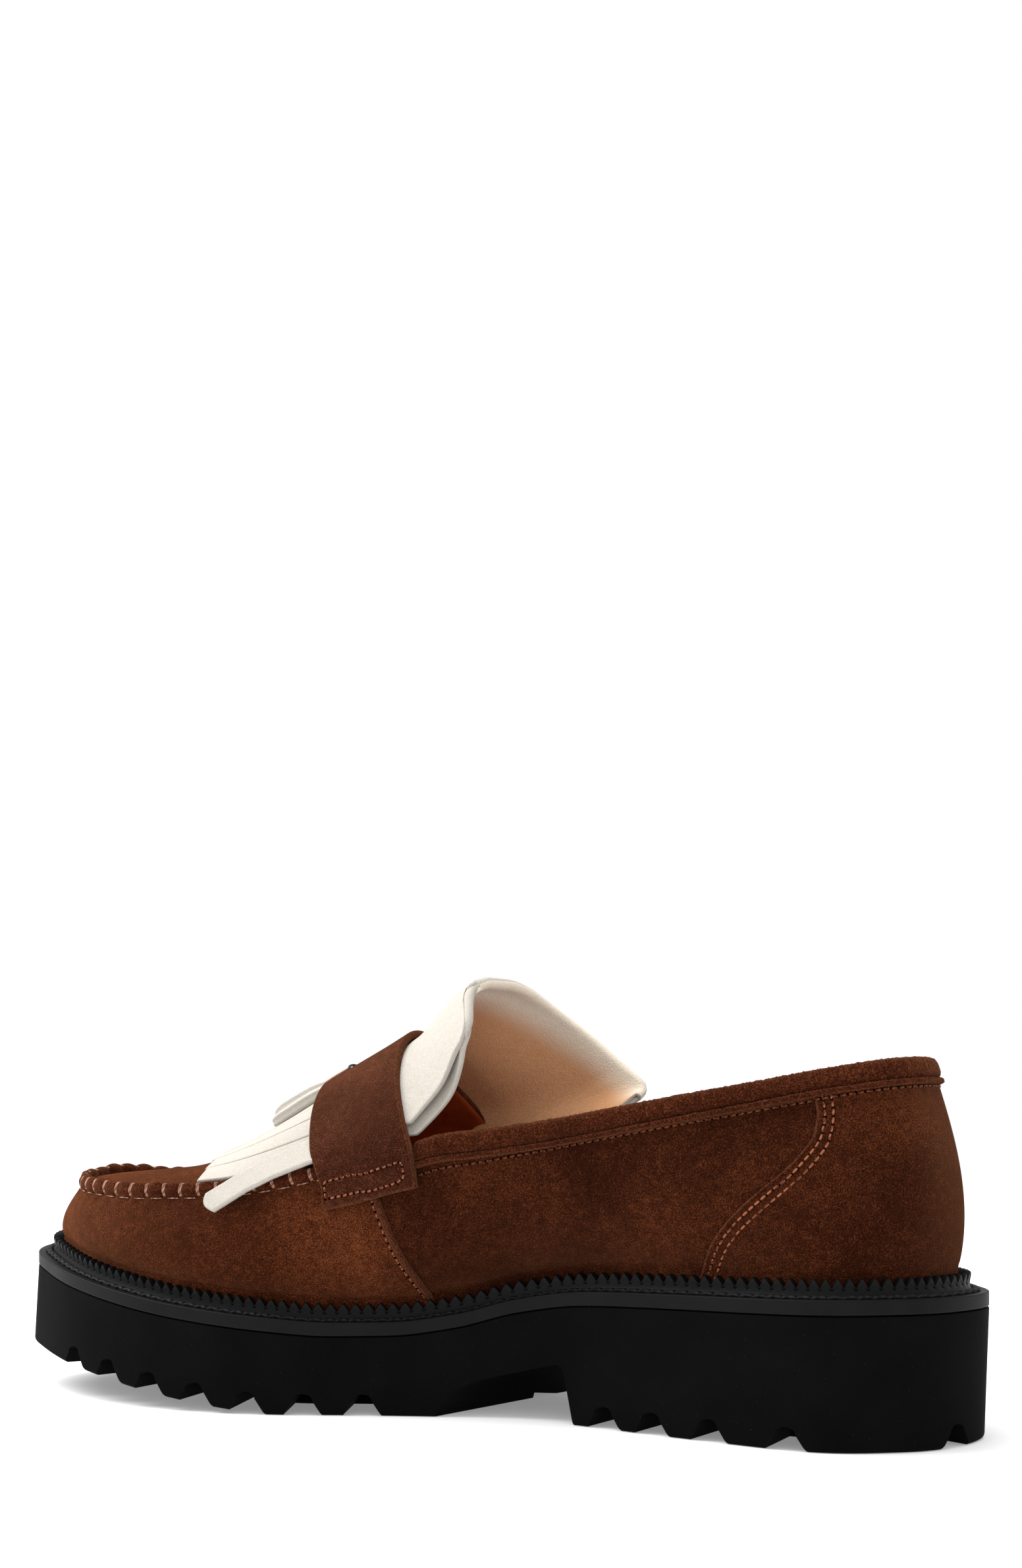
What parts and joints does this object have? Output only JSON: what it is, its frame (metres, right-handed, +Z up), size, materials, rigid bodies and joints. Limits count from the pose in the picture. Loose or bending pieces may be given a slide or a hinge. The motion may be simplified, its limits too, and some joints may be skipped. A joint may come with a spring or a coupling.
{
  "type": "tassel loafer",
  "caption": "Right-foot tassel loafer: hollow brown suede upper with moccasin seam, saddle strap, cream kiltie with rolled tongue, storm welt and thick lugged black foam sole.",
  "frame": {"origin": "centre of the sole's bounding box on the floor", "axes": "+X from heel to toe, +Y to the inner (medial) side, +Z up"},
  "size_m": [0.306, 0.1008, 0.1279],
  "materials": {
    "foam": "matte black foam",
    "rubber": "satin charcoal rubber",
    "lining": "smooth tan leather",
    "brown_suede": "napped brown suede",
    "cream_suede": "napped cream suede"
  },
  "bodies": {
    "root": {"outsole": "foam", "midsole": "rubber", "storm_welt": "rubber", "insole": "lining", "upper": "brown_suede", "collar_binding": "brown_suede", "kiltie": "cream_suede", "saddle_strap": "brown_suede", "tassel": "cream_suede"}
  },
  "joints": []
}
